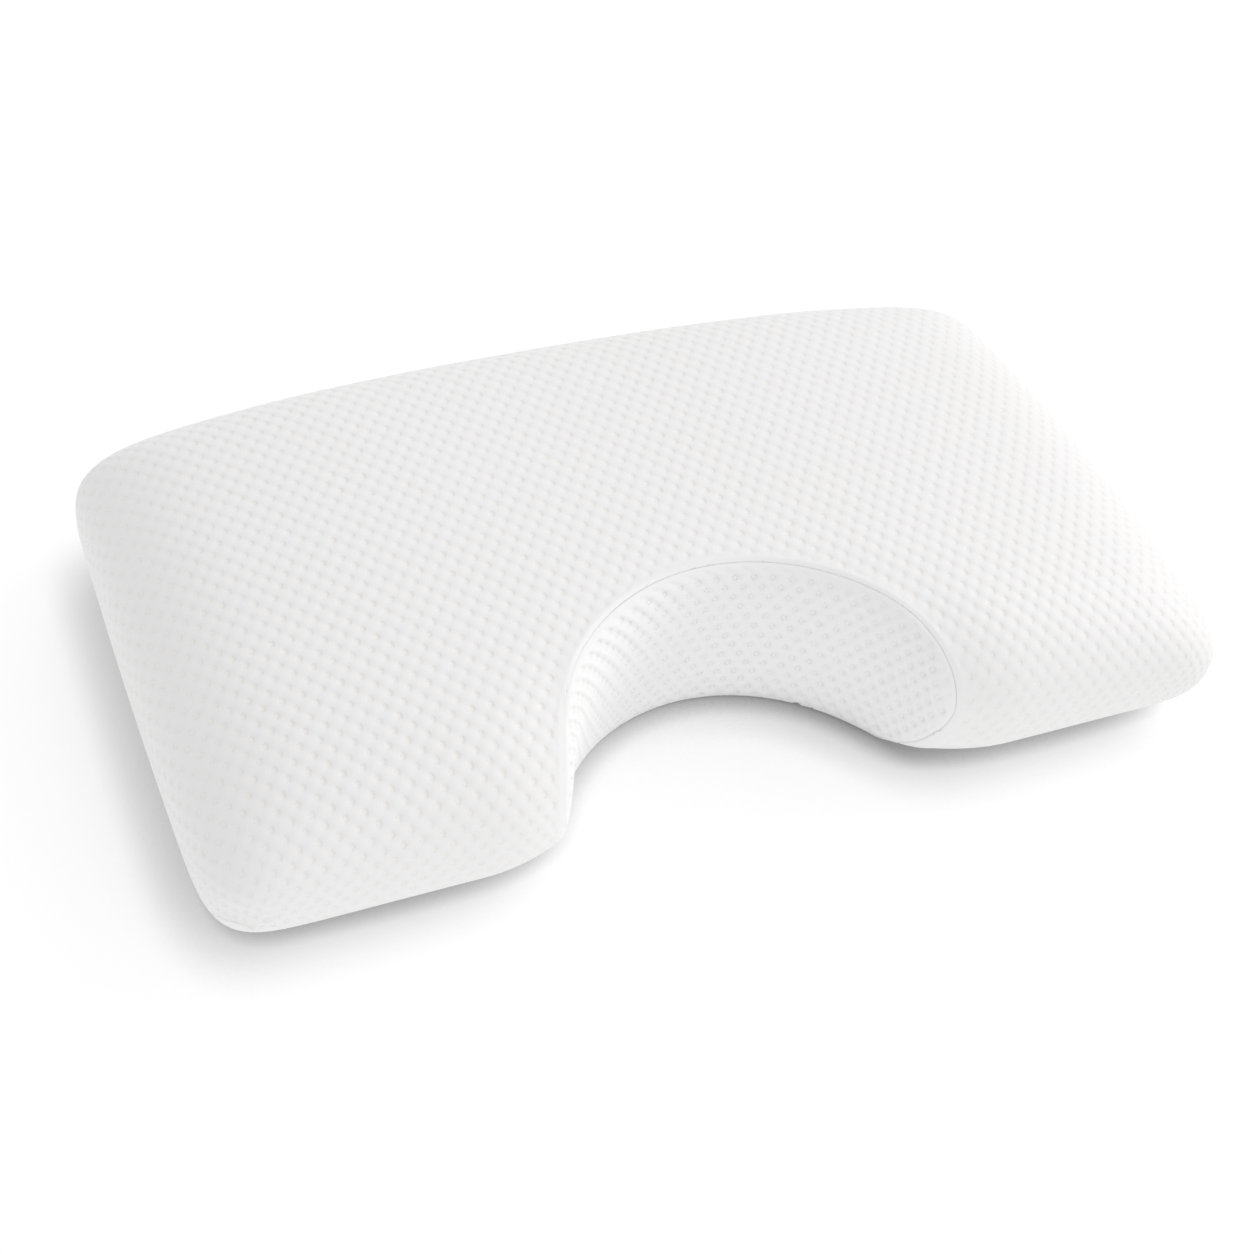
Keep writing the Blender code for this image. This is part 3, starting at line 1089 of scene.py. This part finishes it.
def floorMaterial():
    mat = bpy.data.materials.new("paleFloor")
    mat.use_nodes = True
    t = mat.node_tree
    shader = t.nodes["Principled BSDF"]
    shader.inputs["Base Color"].default_value = (*studio["floorColour"], 1.0)
    shader.inputs["Roughness"].default_value = studio["floorRoughness"]
    shader.inputs["Specular IOR Level"].default_value = studio["floorShine"]
    shader.inputs["Emission Strength"].default_value = studio["floorGlow"]
    # the glow, darkened beside the pillow by painted contact shadow
    glow = studio["evenGlow"]
    for part in studio["glowWithPaintedShadow"]:
        glow = mathNode(t, "MULTIPLY_ADD", unshadowedShareOf(t, part), part["share"], glow)
    t.links.new(mixColour(t, glow, (0.0, 0.0, 0.0), (1.0, 1.0, 1.0)), shader.inputs["Emission Color"])
    return mat


def makeLight(name, azimuth, elevation, strength, width):
    light = bpy.data.lights.new(name, "SUN")
    light.energy = strength
    light.angle = radians(width)
    light.color = studio["lightColour"]
    lamp = bpy.data.objects.new(name, light)
    az, el = radians(azimuth), radians(elevation)
    away = Vector((cos(az) * cos(el), sin(az) * cos(el), sin(el)))
    lamp.rotation_mode = "QUATERNION"
    lamp.rotation_quaternion = away.to_track_quat("Z", "Y")
    scene.collection.objects.link(lamp)


def makeStage():
    bpy.ops.mesh.primitive_plane_add(size=studio["floorSize"], location=studio["floorPlace"])
    floor = bpy.context.active_object
    floor.name = "floor"
    floor.data.materials.append(floorMaterial())
    world = bpy.data.worlds.new("softWhite")
    world.use_nodes = True
    background = world.node_tree.nodes["Background"]
    background.inputs["Color"].default_value = (*studio["worldColour"], 1.0)
    background.inputs["Strength"].default_value = studio["world"]
    scene.world = world
    for number, light in enumerate(studio["lights"]):
        makeLight("light%d" % number, *light)
    scene.view_settings.view_transform = "Standard"


cameraPlace = {
    "azimuth": -30.577,
    "elevation": 45.596,
    "distance": 1.23641,
    "roll": 10.4506,
    "photoWidth": 1254,  # pixels
    "focal": 2170.77,  # in pixels of that width
    "sensor": 36.0,
    "aside": -0.00703,
    "lift": -0.03208,
    "about": (0.0, -0.00655, 0.0495),
}


def makeCamera():
    c = cameraPlace
    az, el, roll = radians(c["azimuth"]), radians(c["elevation"]), radians(c["roll"])
    back = Vector((sin(az) * cos(el), -cos(az) * cos(el), sin(el)))
    right = Vector((cos(az), sin(az), 0.0))
    up = back.cross(right)
    place = Vector(c["about"]) + c["aside"] * right + c["lift"] * up + c["distance"] * back
    across = cos(roll) * right + sin(roll) * up
    along = -sin(roll) * right + cos(roll) * up
    data = bpy.data.cameras.new("camera")
    data.sensor_width = c["sensor"]
    data.lens = c["focal"] / c["photoWidth"] * data.sensor_width
    camera = bpy.data.objects.new("camera", data)
    turn = Matrix((across, along, back)).transposed().to_4x4()
    camera.matrix_world = Matrix.Translation(place) @ turn
    scene.collection.objects.link(camera)
    scene.camera = camera


makeStage()
makeCamera()
bpy.context.view_layer.update()
print("stage done")
